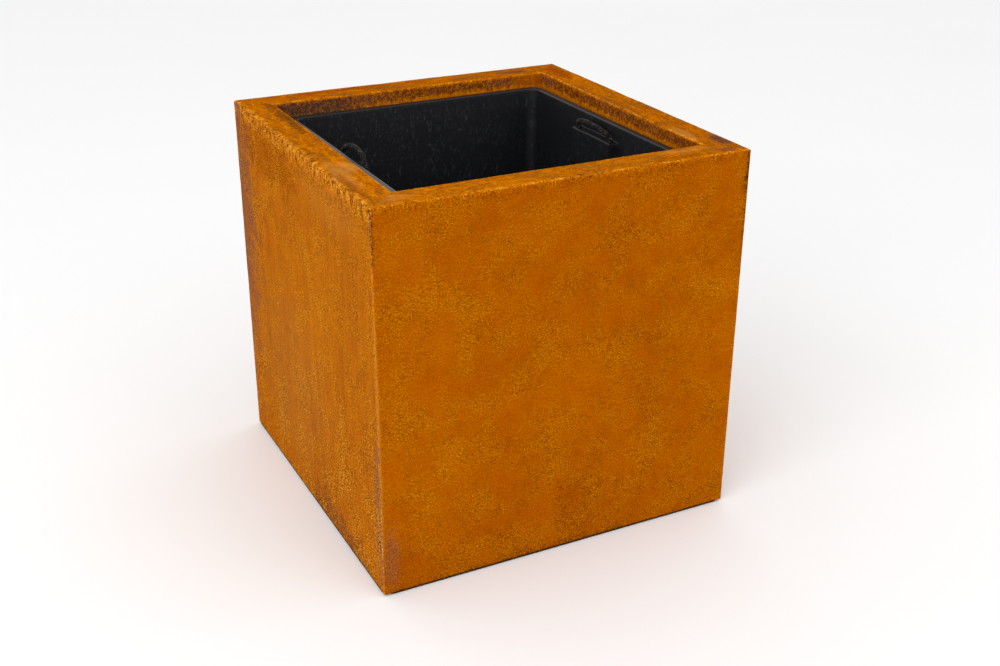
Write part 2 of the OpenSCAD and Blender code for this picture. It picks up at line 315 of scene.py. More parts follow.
class Tree:
    """Builds the nodes of one material; its methods take numbers or Values and return a Value."""

    def __init__(self, name):
        self.material = bpy.data.materials.new(name)
        self.material.use_nodes = True
        self.nodes = self.material.node_tree.nodes
        self.shader = self.nodes["Principled BSDF"]
        self.place = self.node("TexCoord", output="Object")
        self.facing = self.node("TexCoord", output="Normal")

    def put(self, socket, value):
        if isinstance(value, Value):
            self.material.node_tree.links.new(value.socket, socket)
        else:
            socket.default_value = value

    def node(self, kind, *values, inputs=None, output=0, **settings):
        """One output of a new node, with its settings, its first inputs in order and others by name."""
        node = self.nodes.new("ShaderNode" + kind)
        for name, value in settings.items():
            setattr(node, name, value)
        for socket, value in zip(node.inputs, values):
            self.put(socket, value)
        for name, value in (inputs or {}).items():
            self.put(node.inputs[name], value)
        return Value(self, node.outputs[output])

    def math(self, operation, *values):
        return self.node("Math", *values, operation=operation)

    def split(self, vector):
        first = self.node("SeparateXYZ", vector)
        return [Value(self, output) for output in first.socket.node.outputs]

    def vector(self, x, y, z):
        return self.node("CombineXYZ", x, y, z)

    def stretched(self, vector, scale):
        return self.node("VectorMath", vector, scale, operation="MULTIPLY")

    def moved(self, vector, by):
        return self.node("VectorMath", vector, by, operation="ADD")

    def noise(self, vector, scale, detail, roughness, distortion=0.0):
        inputs = {"Vector": vector, "Scale": scale, "Detail": detail, "Roughness": roughness}
        return self.node("TexNoise", inputs={**inputs, "Distortion": distortion}, output="Fac")

    def mix(self, factor, a, b):
        """Colour a turning to colour b as the factor goes from 0 to 1."""
        a, b = (colour if isinstance(colour, Value) else (*colour, 1.0) for colour in (a, b))
        return self.node("Mix", inputs={0: factor, 6: a, 7: b}, output=2, data_type="RGBA")

    def ramp(self, value, stops):
        colour = self.node("ValToRGB", value)
        elements = colour.socket.node.color_ramp.elements
        while len(elements) < len(stops):
            elements.new(0.5)
        for element, (position, stop_colour) in zip(elements, stops):
            element.position = position
            element.color = (*stop_colour, 1.0)
        return colour

    def bump(self, height, distance, strength):
        return self.node("Bump", inputs={"Height": height, "Distance": distance, "Strength": strength})

    def finish(self, colour, roughness, normal=None, **settings):
        """Joins up the shader and sets its constant values."""
        self.put(self.shader.inputs["Base Color"], colour)
        self.put(self.shader.inputs["Roughness"], roughness)
        if normal is not None:
            self.put(self.shader.inputs["Normal"], normal)
        for name, value in settings.items():
            self.shader.inputs[name.replace("_", " ")].default_value = value
        return self.material


# ---- Rusted panels ----

# Rust, from its darkest scale to its palest bloom
SCALE_BLACK = (0.045, 0.014, 0.004)
RED_BROWN = (0.200, 0.036, 0.0005)
ORANGE = (0.40, 0.094, 0.0)
GOLD = (0.60, 0.185, 0.001)
PALE_GOLD = (0.78, 0.32, 0.035)
RUST_STOPS = [(0.0, SCALE_BLACK), (0.22, RED_BROWN), (0.5, ORANGE), (0.75, GOLD), (1.0, PALE_GOLD)]
# Stains on it, with a painted sheen haze and the painted shade under the foot
BLOOD_RED = (0.27, 0.030, 0.0)
PURPLE_BROWN = (0.120, 0.042, 0.026)
PURPLE_GREY = (0.155, 0.085, 0.075)
LIP_GREY = (0.052, 0.033, 0.025)
LIP_BROWN = (0.062, 0.021, 0.006)
# Painted sheen: a pale mauve haze laid over the rust in place of the grazing sheen on it
PAINTED_SHEEN_MAUVE = (0.46, 0.20, 0.045)
PALE_BLOOM = (0.68, 0.29, 0.055)
OLIVE = (0.26, 0.125, 0.016)
# Painted shade: near-black for the shadow in the gap under the bottom fold
FOOT_SHADE_BLACK = (0.012, 0.007, 0.004)
NOWHERE = (9.0, 0.0)


def panel_places(tree, turns):
    """A panel's own places: along it from its middle to the viewer's right, inwards from its face, and up."""
    x, y, z = tree.split(tree.place)
    along, across = [(x, y), (y, x)][turns % 2]
    u = along if turns in (0, 1) else along * -1.0
    outwards = across if turns in (1, 2) else across * -1.0
    return u, HALF - outwards, z


def stain(u, v, ragged, centre, reach):
    """A ragged patch round a place on a panel, 1 in its middle."""
    du = (u - centre[0]) * (1 / reach[0])
    dv = (v - centre[1]) * (1 / reach[1])
    far = u.tree.math("SQRT", du * du + dv * dv)
    return (far + ragged).rise(1.15, 0.45)


def fray_and_highlight(along, away, seed, width):
    """Frayed strokes at a fold or edge: how far they lighten or darken the rust there; the lightening is
    partly paler edge rust and partly a painted highlight on the bend.
    """
    tree = along.tree
    strokes = tree.noise(tree.vector(along * 150.0, away * 62.0, seed), 1.0, 4.0, 0.72, 1.6)
    flecks = tree.noise(tree.vector(along * 260.0, away * 120.0, seed + 4.0), 1.0, 3.0, 0.7, 1.0)
    # Partly painted highlight: the lighter strokes are paler edge rust with a painted highlight along the
    # bend
    light = (away + strokes.swing(width * 2.6)).rise(width, width * 0.35) * (0.12 + strokes.swing(2.0))
    dark = (away + strokes.swing(width * 1.6)).rise(width * 1.4, width * 0.4) * flecks.rise(0.46, 0.36)
    return light + dark * -0.27


def face_colour(tree, look, rust):
    """The rust on a panel's face and inside, with its stain patches, runs and frayed folds; some patches are
    painted shade and painted sheen, and the folds carry a partly painted highlight.
    """
    hue = tree.noise(tree.moved(rust.spot, (0.0, 5.0, 0.0)), 20.0, 5.0, 0.68)
    streak = tree.noise(tree.stretched(rust.spot, (1.0, 1.0, 0.04)), 190.0, 3.0, 0.6)
    long_streak = tree.noise(tree.stretched(rust.spot, (1.0, 1.0, 0.012)), 60.0, 2.0, 0.5)
    pepper = rust.grain.swing(look.grain) + rust.speck.swing(look.speck)
    patchy = 0.62 + hue.rise(0.42, 0.60) * 0.76
    grit = pepper * (1.0 + rust.z.rise(0.30, 0.05) * look.low_grit) * patchy
    tone = look.tone + tree.noise(rust.spot, 7.0, 2.0, 0.5).swing(look.cloud) + rust.blotch.swing(look.blotch)
    tone = tone + grit + streak.swing(look.streak)
    tone = tone + long_streak.rise(0.60, 0.70) * rust.z.rise(0.34, 0.16) * -look.runs
    for strength, width, along, away in (
        (look.fray_top, look.fray_width, rust.u, rust.below_top),
        (look.fray_left, look.fray_side, rust.z, HALF + rust.u),
        (look.fray_right, look.fray_side, rust.z, HALF - rust.u),
    ):
        tone = tone + fray_and_highlight(along, away, look.seed, width) * strength
    drip_depth = rust.below_top - streak.rise(0.42, 0.68) * look.drip
    tone = tone + drip_depth.rise(0.014, -0.004) * rust.grain.rise(0.58, 0.44) * -look.drip_dark
    red = (rust.speck + rust.blotch.swing(0.5)).rise(0.58, 0.72) * look.red
    colour = tree.mix(red, tree.ramp(tone, RUST_STOPS), BLOOD_RED)
    covered = 0.0
    for stain_colour, strength, centre, reach in look.stains:
        mask = stain(rust.u, rust.z, rust.ragged, centre, reach) * strength
        shade = mask * (pepper + 0.5).rise(0.90, 0.30)
        colour = tree.mix(shade, colour, stain_colour)
        covered = tree.math("MAXIMUM", covered, shade)
    stained_grit = 1.0 + covered * grit * 2.4
    colour = tree.stretched(colour, tree.vector(stained_grit, stained_grit, stained_grit))
    green = (1.0 + hue.swing(look.hue)) * look.cast[1]
    return tree.stretched(colour, tree.vector(look.cast[0], green, look.cast[2]))


def rim_colour(tree, look, rust):
    """The smeared rust on the flat rim, frayed at both of its folds, with a partly painted highlight along
    them.
    """
    smear = tree.noise(rust.turned, 24.0, 4.0, 0.62, 0.8)
    tone = look.rim_tone + smear.swing(0.75) + rust.dapple.swing(0.75)
    tone = tone + rust.speck.swing(0.45) + rust.grain.swing(1.0)
    tone = tone + fray_and_highlight(rust.u, rust.d, look.seed + 9.0, 0.012) * look.rim_outer
    tone = tone + fray_and_highlight(rust.u, RIM_W - rust.d, look.seed + 17.0, 0.008) * look.rim_inner
    colour = tree.mix(smear.rise(0.54, 0.40) * look.olive, tree.ramp(tone, RUST_STOPS), OLIVE)
    for stain_colour, strength, centre, reach in look.rim_stains:
        mask = stain(rust.u, rust.d, rust.ragged, centre, reach) * strength
        colour = tree.mix(mask, colour, stain_colour)
    return colour


def lip_colour(tree, look, rust):
    """The lip's dark band with its toothed edges, and the brighter rust below it."""
    teeth = tree.noise(tree.vector(rust.u * 240.0, rust.below_top * 30.0, look.seed), 1.0, 2.0, 0.6, 0.2)
    toothed = rust.below_top + teeth.swing(0.019)
    dark_top = toothed.rise(0.0022, 0.0029)
    dark_foot = toothed.rise(look.lip_dark + 0.0015, look.lip_dark - 0.0015)
    crumbs = (rust.speck + rust.grain.swing(0.9)).rise(0.60, 0.46)
    fade = stain(rust.u, rust.below_top, rust.ragged, look.lip_fade, (look.lip_fade_reach, 0.10))
    grey_end = stain(rust.u, rust.below_top, rust.ragged, look.lip_grey, (0.15, 0.10))
    band = dark_top * dark_foot * (0.24 + crumbs * 0.76) * (1.0 - fade)
    grey_band = grey_end * dark_top * (0.72 + crumbs * 0.50)
    tint = tree.mix(rust.blotch.rise(0.42, 0.6), LIP_BROWN, PURPLE_BROWN)
    tint = tree.mix(grey_end, tint, LIP_GREY)
    tone = 0.50 + rust.speck.swing(0.7) + rust.grain.swing(0.8) + rust.dapple.swing(0.3)
    tone = tone + toothed.rise(look.lip_dark, look.lip_dark + 0.003) * 0.16
    return tree.mix(tree.math("MAXIMUM", band, grey_band) * 0.75, tree.ramp(tone, RUST_STOPS), tint)


def rusted_steel(name, turns, look):
    """Weathering steel on one panel: face and inside, rim and lip, with painted shade along its foot."""
    tree = Tree(name)
    u, d, z = panel_places(tree, turns)
    nz = tree.split(tree.facing)[2]
    spot = tree.moved(tree.place, (look.seed, 0.0, 0.0))
    turned = tree.vector(u, d * 2.6, look.seed)
    blotch = tree.noise(spot, 34.0, 4.0, 0.62)
    speck = tree.noise(spot, 170.0, 3.0, 0.7)
    grain = tree.noise(tree.vector(u * look.grain_along, z, d + look.seed), 520.0, 2.0, 0.7)
    rust = SimpleNamespace(
        u=u, d=d, z=z, below_top=HEIGHT - z, spot=spot, turned=turned,
        blotch=blotch, speck=speck, grain=grain, dapple=tree.noise(turned, 95.0, 3.0, 0.65, 0.6),
        ragged=blotch.swing(1.5) + speck.swing(1.1) + grain.swing(0.8),
    )
    colour = face_colour(tree, look, rust)
    colour = tree.mix(nz.rise(0.35, 0.8), colour, rim_colour(tree, look, rust))
    on_lip = d.rise(RIM_W - 0.0045, RIM_W - 0.0025) * nz.rise(0.8, 0.35)
    colour = tree.mix(on_lip, colour, lip_colour(tree, look, rust))
    # Painted shade: the lowest few millimetres between the corner notches are darkened, standing in for the
    # shadow in the gap under the bottom fold
    painted_foot_shade = z.rise(0.0052, 0.0030) * abs(u).rise(HALF - 0.006, HALF - 0.014)
    colour = tree.mix(painted_foot_shade * 0.9, colour, FOOT_SHADE_BLACK)
    rough = 0.86 + blotch.swing(0.16) + speck.swing(0.12)
    normal = tree.bump(grain * 0.45 + speck * 0.8 + blotch * 0.5, 0.0009, 0.75)
    return tree.finish(colour, rough, normal, Specular_IOR_Level=0.0)


def panel_look(**values):
    """A panel's strengths of each pattern, and its stain patches, some of them painted shade and painted
    sheen: (colour, strength, place, reach).
    """
    usual = dict(
        cloud=0.16, speck=0.36, grain=1.05, low_grit=0.3, hue=0.30, red=0.35, olive=0.35, rim_outer=0.5,
        lip_dark=0.015, lip_fade=NOWHERE, lip_fade_reach=0.1, lip_grey=NOWHERE,
    )
    return SimpleNamespace(**{**usual, **values})


PANEL_LOOKS = {
    "front": panel_look(
        seed=0.0, tone=0.5, blotch=0.26, speck=0.34, grain=1.15, low_grit=0.15,
        grain_along=1.0, streak=0.0, runs=0.0, cast=(0.895, 0.89, 0.6), hue=0.7,
        fray_top=0.6, fray_left=0.25, fray_right=0.4, fray_width=0.01, fray_side=0.007,
        drip=0.006, drip_dark=0.1, red=0.4, rim_tone=0.56, rim_outer=0.7, rim_inner=0.8, olive=0.3,
        stains=[
            (SCALE_BLACK, 0.75, (-0.2498, 0.468), (0.0035, 0.045)),
            # Partly painted highlight: a pale line down the rounded front-left corner, paler edge rust with a
            # painted highlight on its round
            (PALE_BLOOM, 0.5, (-0.2505, 0.22), (0.0035, 0.22)),
            (SCALE_BLACK, 0.95, (0.2495, 0.475), (0.008, 0.045)),
            (SCALE_BLACK, 0.45, (0.249, 0.4), (0.005, 0.05)),
            (RED_BROWN, 0.3, (-0.225, 0.02), (0.05, 0.06)),
            (PURPLE_GREY, 0.4, (-0.238, 0.05), (0.012, 0.05)),
            # Painted shade: a black band along the foot of the front, standing in for the shadow under its
            # bottom fold
            (SCALE_BLACK, 0.45, (-0.02, 0.0), (0.24, 0.012)),
            (RED_BROWN, 0.3, (0.03, 0.05), (0.05, 0.05)),
        ],
        rim_stains=[
            (RED_BROWN, 0.35, (0.16, 0.01), (0.05, 0.01)),
            (PALE_BLOOM, 0.25, (0.17, 0.03), (0.04, 0.01)),
            (PURPLE_BROWN, 0.6, (0.222, 0.014), (0.016, 0.01)),
            (PALE_BLOOM, 0.2, (-0.22, 0.026), (0.03, 0.018)),
        ],
    ),
    "right": panel_look(
        seed=3.7, tone=0.51, blotch=0.22, grain_along=0.8, streak=0.16, runs=0.1, cast=(0.96, 1.02, 0.8),
        fray_top=0.8, fray_left=0.5, fray_right=0.6, fray_width=0.018, fray_side=0.012,
        drip=0.024, drip_dark=0.2, rim_tone=0.51, rim_inner=1.4, lip_dark=0.0155,
        stains=[
            (PURPLE_BROWN, 0.55, (0.243, 0.3), (0.03, 0.15)),
            (PURPLE_BROWN, 0.5, (0.18, 0.03), (0.08, 0.05)),
            # Painted sheen: a pale mauve haze patch
            (PAINTED_SHEEN_MAUVE, 0.2, (-0.05, 0.24), (0.11, 0.14)),
        ],
        rim_stains=[
            (PURPLE_BROWN, 0.85, (-0.198, 0.012), (0.026, 0.012)),
            (PALE_BLOOM, 0.35, (-0.155, 0.036), (0.035, 0.01)),
            (BLOOD_RED, 0.45, (0.2, 0.022), (0.05, 0.014)),
        ],
    ),
    "back": panel_look(
        seed=7.1, tone=0.51, blotch=0.2, grain_along=0.9, streak=0.12, runs=0.07, cast=(0.96, 1.0, 0.8),
        fray_top=0.7, fray_left=0.6, fray_right=0.5, fray_width=0.016, fray_side=0.01,
        drip=0.02, drip_dark=0.18, rim_tone=0.5, rim_inner=0.7,
        lip_fade=(-0.2, 0.01), lip_fade_reach=0.045, lip_grey=(0.19, 0.01),
        stains=[
            (PURPLE_BROWN, 0.55, (-0.243, 0.33), (0.03, 0.15)),
            # Painted sheen: a pale mauve haze patch
            (PAINTED_SHEEN_MAUVE, 0.2, (0.08, 0.28), (0.12, 0.12)),
            (PURPLE_BROWN, 0.45, (0.1, 0.02), (0.12, 0.03)),
        ],
        rim_stains=[
            (PURPLE_BROWN, 0.7, (-0.165, 0.024), (0.03, 0.01)),
            (BLOOD_RED, 0.4, (0.1, 0.012), (0.1, 0.01)),
        ],
    ),
    # The left face is set paler and less saturated than the others, under a face-wide mauve haze: painted
    # sheen from the grazing light on that side, over its rust
    "left": panel_look(
        seed=11.3, tone=0.525, cloud=0.18, blotch=0.32, speck=0.44, grain=1.3, low_grit=0.8,
        grain_along=0.6, streak=0.22, runs=0.05, cast=(0.945, 0.98, 1.0),
        fray_top=1.7, fray_left=0.5, fray_right=0.5, fray_width=0.03, fray_side=0.012,
        drip=0.04, drip_dark=0.14, red=0.25, rim_tone=0.565, rim_outer=1.7, rim_inner=0.9, olive=0.3,
        stains=[
            # Painted sheen: a mauve haze over the whole face, and a stronger patch of it
            (PAINTED_SHEEN_MAUVE, 0.15, (0.0, 0.25), (0.6, 0.6)),
            (PAINTED_SHEEN_MAUVE, 0.2, (-0.06, 0.16), (0.15, 0.14)),
            (PURPLE_BROWN, 0.5, (-0.255, 0.38), (0.09, 0.18)),
            (PURPLE_GREY, 0.35, (-0.255, 0.3), (0.075, 0.26)),
            # Partly painted highlight: a pale line down the face's rounded front edge, paler edge rust with a
            # painted highlight on its round
            (PALE_BLOOM, 0.3, (0.2495, 0.2), (0.006, 0.24)),
            (PURPLE_BROWN, 0.85, (0.2495, 0.468), (0.006, 0.045)),
            (PURPLE_GREY, 0.4, (0.246, 0.11), (0.02, 0.12)),
            (PALE_BLOOM, 0.12, (0.12, 0.462), (0.12, 0.03)),
            (PURPLE_BROWN, 0.55, (0.09, 0.01), (0.12, 0.035)),
            (RED_BROWN, 0.45, (-0.1, 0.455), (0.12, 0.035)),
        ],
        rim_stains=[
            (PALE_BLOOM, 0.4, (0.1, 0.032), (0.026, 0.01)),
            (PALE_BLOOM, 0.35, (0.13, 0.014), (0.07, 0.012)),
            (SCALE_BLACK, 0.45, (-0.13, 0.034), (0.1, 0.01)),
            (RED_BROWN, 0.5, (0.17, 0.01), (0.05, 0.008)),
        ],
    ),
}


# ---- The other materials ----


def black_plastic():
    """Moulded black plastic with a satin rim and pale feathery scuffs on the walls."""
    tree = Tree("black_plastic")
    x, y, z = tree.split(tree.place)
    fine = tree.noise(tree.place, 420.0, 2.0, 0.6)
    haze = tree.noise(tree.place, 10.0, 3.0, 0.55)
    slant = tree.vector(x * 0.8 + y * 0.6, y * 0.8 - x * 0.6, z * 0.45)
    feather = tree.noise(slant, 105.0, 6.0, 0.76, 2.6)
    hair = tree.noise(slant, 260.0, 3.0, 0.65, 2.0)
    wisps = feather.rise(0.54, 0.68) * haze.rise(0.38, 0.56)
    hairs = hair.rise(0.58, 0.70) * haze.rise(0.60, 0.46)
    upright = abs(tree.split(tree.facing)[2]).rise(0.7, 0.3)
    scuff = (wisps * 0.19 + hairs * 0.15) * upright
    dust = fine.rise(0.64, 0.76) * 0.05
    colour = tree.mix(scuff + dust, (0.0043, 0.0048, 0.0062), (0.22, 0.24, 0.27))
    rough = 0.36 + upright * 0.20 + haze.swing(0.12) + scuff * 1.2 + fine.swing(0.05)
    normal = tree.bump(fine * 0.5 + haze * 0.6, 0.0003, 0.35)
    return tree.finish(colour, rough, normal, Specular_IOR_Level=0.32)


def galvanised_steel():
    """Hot-dip zinc with its crystal spangle and dull patches."""
    tree = Tree("galvanised_steel")
    inputs = {"Vector": tree.moved(tree.place, (0.3, 0.1, 0.2)), "Scale": 110.0}
    spangle = tree.split(tree.node("TexVoronoi", inputs=inputs, output="Color"))[0]
    patch = tree.noise(tree.place, 22.0, 4.0, 0.6)
    fine = tree.noise(tree.place, 600.0, 2.0, 0.6)
    stops = [(0.2, (0.20, 0.215, 0.225)), (0.6, (0.36, 0.375, 0.385)), (0.9, (0.52, 0.53, 0.53))]
    colour = tree.ramp(spangle * 0.35 + patch * 0.5 + fine * 0.15, stops)
    rough = 0.42 + spangle.swing(0.22) + patch.swing(0.2)
    return tree.finish(colour, rough, tree.bump(fine, 0.0002, 0.4), Metallic=0.85)


def zinc_plated():
    """Bright zinc on fasteners, duller in patches and with a few brown freckles."""
    tree = Tree("zinc_plated")
    patch = tree.noise(tree.place, 160.0, 4.0, 0.6)
    fine = tree.noise(tree.place, 1500.0, 2.0, 0.6)
    stops = [(0.3, (0.36, 0.36, 0.34)), (0.55, (0.56, 0.56, 0.54)), (0.8, (0.66, 0.64, 0.58))]
    freckle = (patch + fine.swing(0.5)).rise(0.66, 0.74) * 0.6
    colour = tree.mix(freckle, tree.ramp(patch, stops), (0.24, 0.09, 0.03))
    rough = 0.30 + patch.swing(0.25) + freckle * 0.5
    return tree.finish(colour, rough, tree.bump(fine, 0.00008, 0.4), Metallic=0.9)


def rusted_iron(name, seed, dark):
    """Rust on the brackets and welds, with darker scale showing through."""
    tree = Tree(name)
    spot = tree.moved(tree.place, (seed, seed, 0.0))
    blotch = tree.noise(spot, 60.0, 4.0, 0.62)
    grain = tree.noise(spot, 330.0, 3.0, 0.7)
    tone = 0.52 - dark + blotch.swing(0.7) + grain.swing(0.5)
    stops = [(0.0, (0.05, 0.03, 0.025)), (0.3, PURPLE_BROWN), (0.5, RED_BROWN), (0.72, ORANGE), (1.0, GOLD)]
    rough = 0.74 + blotch.swing(0.3)
    normal = tree.bump(grain + blotch, 0.0007, 0.6)
    return tree.finish(tree.ramp(tone, stops), rough, normal, Specular_IOR_Level=0.2)


def braided_rope():
    """Dark polyester braid: every strand has its own shade, with tan flecks and fine fibres along it."""
    tree = Tree("rope")
    strand_place = tree.node("Attribute", output="Vector", attribute_name="strand_place")
    strand = tree.split(strand_place)[0]
    shade = tree.node("TexWhiteNoise", inputs={"W": strand}, output="Value", noise_dimensions="1D")
    fleck = tree.noise(tree.stretched(strand_place, (7.0, 1.0, 0.002)), 420.0, 2.0, 0.6)
    fibre = tree.noise(tree.stretched(strand_place, (9.0, 0.25, 1.0)), 900.0, 2.0, 0.6)
    tone = shade * 0.22 + fleck.swing(1.30) + 0.42 + fibre.swing(0.30)
    stops = [
        (0.44, (0.0018, 0.0018, 0.0020)), (0.58, (0.0060, 0.0056, 0.0050)),
        (0.68, (0.040, 0.036, 0.026)), (0.82, (0.18, 0.16, 0.115)),
    ]
    normal = tree.bump(fibre, 0.00025, 0.7)
    return tree.finish(tree.ramp(tone, stops), 0.9, normal, Specular_IOR_Level=0.12, Sheen_Weight=0.04)


# ---- Shell ----


def panel_profile():
    """Middle, outward normal and half thickness at each station of a panel's section: (inwards, height)."""
    top = HEIGHT - BEND_R
    outline = []

    def straight(points, normal):
        outline.extend((point, normal) for point in points)

    def bend(centre, first_deg, last_deg, steps=6):
        for i in range(steps + 1):
            a = math.radians(first_deg + (last_deg - first_deg) * i / steps)
            normal = (math.cos(a), math.sin(a))
            outline.append(((centre[0] + BEND_R * normal[0], centre[1] + BEND_R * normal[1]), normal))

    flange = graded(0.0, FLANGE_W - BEND_R, 0.001, 0.004, 0.001)[:-1]
    face = np.concatenate([[RELIEF_H], graded(RELIEF_H + 0.0015, top, 0.0018, 0.006, 0.018)[:-1]])
    rim = graded(BEND_R, RIM_W - BEND_R, 0.0015, 0.0022, 0.003)[1:-1]
    lip = graded(0.0, LIP_H - BEND_R, 0.0004, 0.0016, 0.0004)[1:]
    straight([(FLANGE_W - run, 0.0) for run in flange], (0.0, -1.0))
    bend((BEND_R, BEND_R), 270, 180)
    straight([(0.0, height) for height in face], (-1.0, 0.0))
    bend((BEND_R, top), 180, 90)
    straight([(reach, HEIGHT) for reach in rim], (0.0, 1.0))
    bend((RIM_W - BEND_R, top), 90, 0)
    straight([(RIM_W, top - run) for run in lip], (1.0, 0.0))
    outer = np.array([point for point, _ in outline])
    normals = np.array([normal for _, normal in outline])
    half = np.full(len(outer), SHEET_T / 2)
    half[[0, -1]] -= SHEET_CHAMFER
    return outer - normals * SHEET_T / 2, normals, half


def rust_relief(point):
    """How far rust stands proud of the sheet at a point."""
    return sum(noise.noise(point * often) * by for often, by in RUST_RELIEF)


def panel_surface(points, normals):
    """Rounds the panel's outer corners in plan and raises the rust on one side of the sheet."""
    corner = HALF - EDGE_R
    shaped = np.empty_like(points)
    for index, (p, n) in enumerate(zip(points, normals)):
        x, y = p[0], p[1]
        if abs(x) > corner and y < -corner:
            side = math.copysign(1.0, x)
            out = np.array([x - side * corner, y + corner])
            length = max(np.linalg.norm(out), 1e-9)
            out /= length
            reach = min(length, EDGE_R)
            p = np.array([side * corner + out[0] * reach, -corner + out[1] * reach, p[2]])
            n = np.array([out[0] * abs(n[1]), out[1] * abs(n[1]), n[2]])
        # The flange stands on the ground, so its underside stays where it is
        proud = 0.0 if n[2] < -0.5 and p[2] < BEND_R else rust_relief(Vector(p))
        shaped[index] = p + n * proud
    return shaped


def panel_piece(name, turns, material):
    """One folded panel as a closed sheet, its ends mitred and its bottom corners relieved."""
    middle, normals, half = panel_profile()
    inner_run = graded(-(HALF - RELIEF_L), HALF - RELIEF_L, 0.002, 0.006, 0.012)
    end_run = HALF - np.concatenate([np.linspace(0.0084, 0.0036, 4), np.linspace(0.002, 0.0, 6)])
    columns = np.concatenate([-end_run[::-1], inner_run, end_run])
    off_relief = np.abs(middle[:, 1] - RELIEF_H) + (np.abs(middle[:, 0] - SHEET_T / 2) > 1e-6)
    relief_row = int(np.argmin(off_relief))
    low = np.arange(len(middle))[:, None] <= relief_row
    sides = []
    for sign, skin in zip((1.0, -1.0), both_skins(middle, normals, half)):
        d, height = skin[:, :1], skin[:, 1:]
        share = np.where(low, (HALF - np.maximum(d, RELIEF_L)) / (HALF - RELIEF_L), (HALF - d) / HALF)
        points = np.stack(np.broadcast_arrays(columns * share, d - HALF, height), 2)
        facing = np.stack(np.broadcast_arrays(columns * 0.0, sign * normals[:, :1], sign * normals[:, 1:]), 2)
        sides.append(panel_surface(points.reshape(-1, 3), facing.reshape(-1, 3)))
    middles = (columns[:-1] + columns[1:]) / 2
    solid = np.ones((len(middle) - 1, len(columns) - 1), bool)
    solid[:relief_row, np.abs(middles) > HALF - RELIEF_L] = False
    return mesh_object(name, *sheet_solid(sides, solid, turns), material, 50)


def sheet_solid(sides, solid, turns=0):
    """Closes a sheet between two grids of points, where solid says which cells are there."""
    rows, columns = solid.shape[0] + 1, solid.shape[1] + 1
    back = rows * columns
    there = np.pad(solid, 1)
    faces = []
    for k, j in np.argwhere(solid).tolist():
        a, b = k * columns + j, (k + 1) * columns + j
        c, d = b + 1, a + 1
        faces.append((a, b, c, d))
        faces.append((back + d, back + c, back + b, back + a))
        for p, q, step_k, step_j in ((a, b, 0, -1), (b, c, 1, 0), (c, d, 0, 1), (d, a, -1, 0)):
            if not there[k + 1 + step_k, j + 1 + step_j]:
                faces.append((q, p, back + p, back + q))
    return quarter_turns(np.concatenate(sides), turns), faces


def weld_bead(start, end, radius, ways):
    """A fillet bead between two places with the ripples of its weld pool; its section is a quarter round."""
    start, end, ways = np.array(start), np.array(end), np.array(ways)
    length = np.linalg.norm(end - start)
    steps = max(8, round(length / (WELD_RIPPLE / 5)))
    rings = []
    for i in range(steps + 1):
        centre = start + (end - start) * i / steps
        wobble = 1 + 0.06 * noise.noise(Vector(centre) * 55.0)
        ring = [centre]
        for a in np.linspace(0, math.pi / 2, WELD_STEPS + 1):
            ripple = length * i / steps / WELD_RIPPLE + 0.35 * math.sin(2 * a)
            reach = radius * wobble * (0.96 + 0.05 * math.sin(2 * math.pi * ripple))
            ring.append(centre + reach * (math.cos(a) * ways[0] + math.sin(a) * ways[1]))
        rings.append(np.array(ring))
    return loft(rings)


def corner_weld_piece(name, turns, material):
    """The bead up the inside of a corner, and the one under the mitre of the rim."""
    inner = -HALF + SHEET_T
    under = HEIGHT - SHEET_T
    start, end = -HALF + MITRE_WELD_START, -HALF + RIM_W - MITRE_WELD_STOP
    slant = math.sqrt(0.5)
    upright = ((1.0, 0.0, 0.0), (0.0, 1.0, 0.0))
    parts = [weld_bead((inner, inner, RELIEF_H), (inner, inner, HEIGHT - BEND_R), WELD_R, upright)]
    for side in (slant, -slant):
        ways = ((side, -side, 0.0), (0.0, 0.0, -1.0))
        parts.append(weld_bead((start, start, under), (end, end, under), MITRE_WELD_R, ways))
    points, faces = joined(parts)
    return mesh_object(name, quarter_turns(points, turns), faces, material, 60)


PANELS = (("front", 0), ("right", 1), ("back", 2), ("left", 3))
CORNERS = (("front_left", 0), ("front_right", 1), ("back_right", 2), ("back_left", 3))


def build_shell():
    """The four panels and the welds of their corners."""
    for side, turns in PANELS:
        material = rusted_steel("rusted_steel_" + side, turns, PANEL_LOOKS[side])
        panel = panel_piece(side + "_sheet", turns, material)
        place(panel, "shell", "rusted_steel", side + "_panel")
    weld_material = rusted_iron("weld", 2.0, 0.06)
    for corner, turns in CORNERS:
        weld = corner_weld_piece(corner + "_bead", turns, weld_material)
        place(weld, "shell", "weld", corner + "_weld")


def place(piece, body, slot, *nodes):
    """Rides a piece on its body and hides the CAD nodes it stands for; its slot is not used."""
    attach(piece, body)
    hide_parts(*nodes)


# ---- Rails, cleats and fasteners ----

RAIL_T = 0.002
RAIL_BEND_R = 0.0035
CLEAT_T = 0.004
CLEAT_ROOT_R = 0.004
CLEAT_HEEL_R = 0.0003
CLEAT_TOE_R = 0.0025
BOLT_HOLE_R = 0.0045
BOLT_R = 0.004
WASHER_R = 0.008
WASHER_BREAK = 0.0004
BORE_BREAK = 0.0003
THREAD_PITCH = 0.00125
THREAD_DEPTH = 0.0006
HEX_AF = 0.013
HEX_CHAMFER = math.tan(math.radians(28))
HEX_FLAT = 0.97
HEX_STEPS = 48
NUT_MOUTH = 0.0006
END_CHAMFER = 0.0009
END_BREAK = 0.0004


def bolt_places():
    """Where the bolts stand: their outermost centres from the box of the washers."""
    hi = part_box("rail_washers")[1]
    return [(sx * (hi.x - WASHER_R), sy * (hi.y - WASHER_R)) for sx in (-1, 1) for sy in (-1, 1)]


